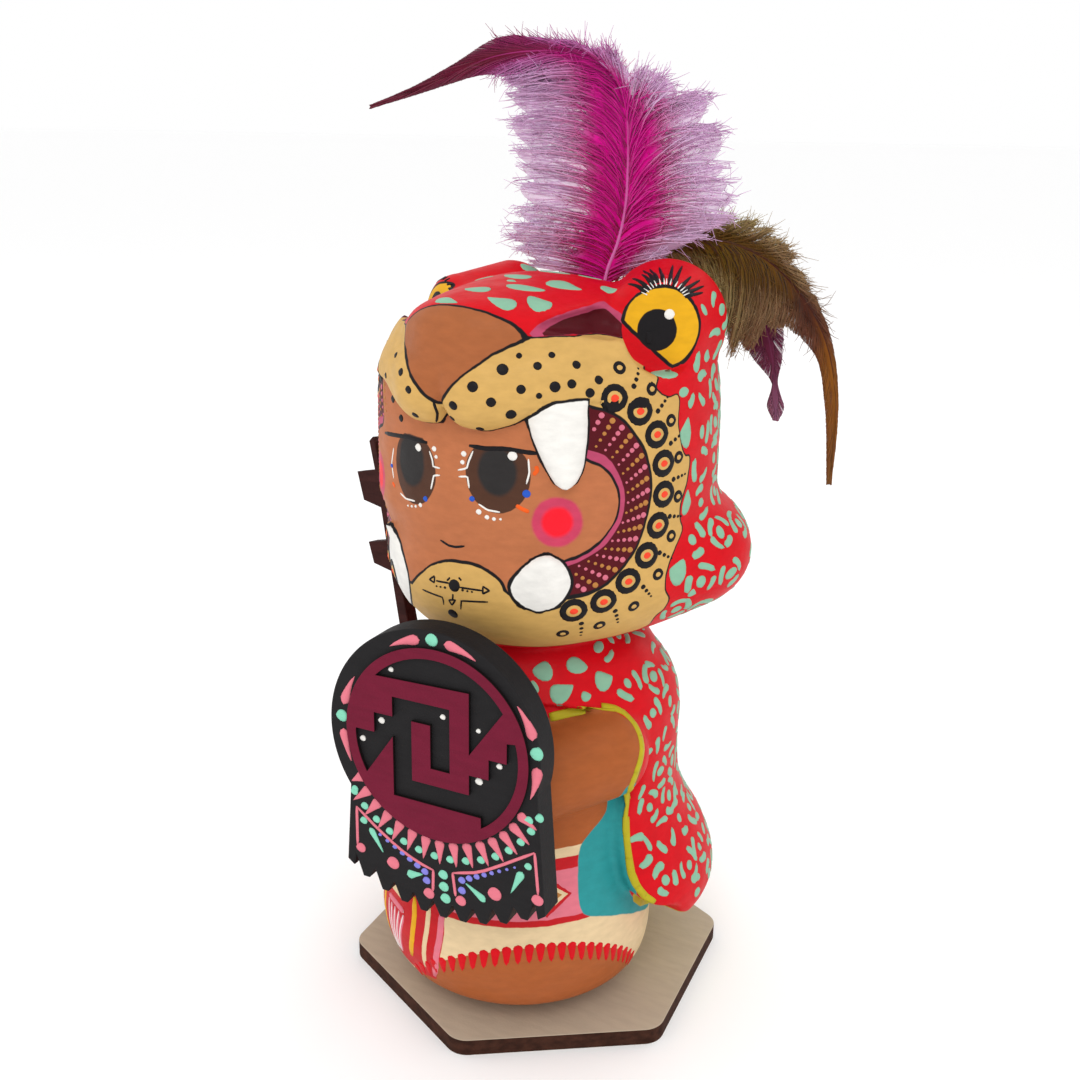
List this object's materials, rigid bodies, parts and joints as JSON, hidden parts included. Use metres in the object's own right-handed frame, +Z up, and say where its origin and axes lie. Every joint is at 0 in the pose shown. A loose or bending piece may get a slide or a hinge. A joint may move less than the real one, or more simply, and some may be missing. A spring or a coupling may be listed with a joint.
{
  "type": "painted clay warrior figurine",
  "caption": "Hand-painted clay warrior in a big-cat helmet and cape on a hexagonal board, with a round fringed shield, a bladed club and feathers.",
  "frame": {"origin": "centre of the hexagonal board's underside", "axes": "+Z up; the figure faces -Y; +X is the figure's own left"},
  "size_m": [0.0868, 0.0744, 0.1615],
  "materials": {
    "board": "matt painted fibreboard with laser-burnt edges",
    "painted_clay": null,
    "black_board": "fibreboard painted satin black",
    "burgundy_board": "thin board painted burgundy",
    "club_wood": "fibreboard stained dark brown",
    "magenta_feather": null,
    "brown_feather": null,
    "burgundy_feather": null
  },
  "bodies": {
    "root": {"base_board": "board", "clay_figure": "painted_clay", "shield_board": "black_board", "shield_disc": "burgundy_board", "club": "club_wood", "feather_tall": "magenta_feather", "feather_brown": "brown_feather", "feather_drooping": "burgundy_feather"}
  },
  "joints": []
}
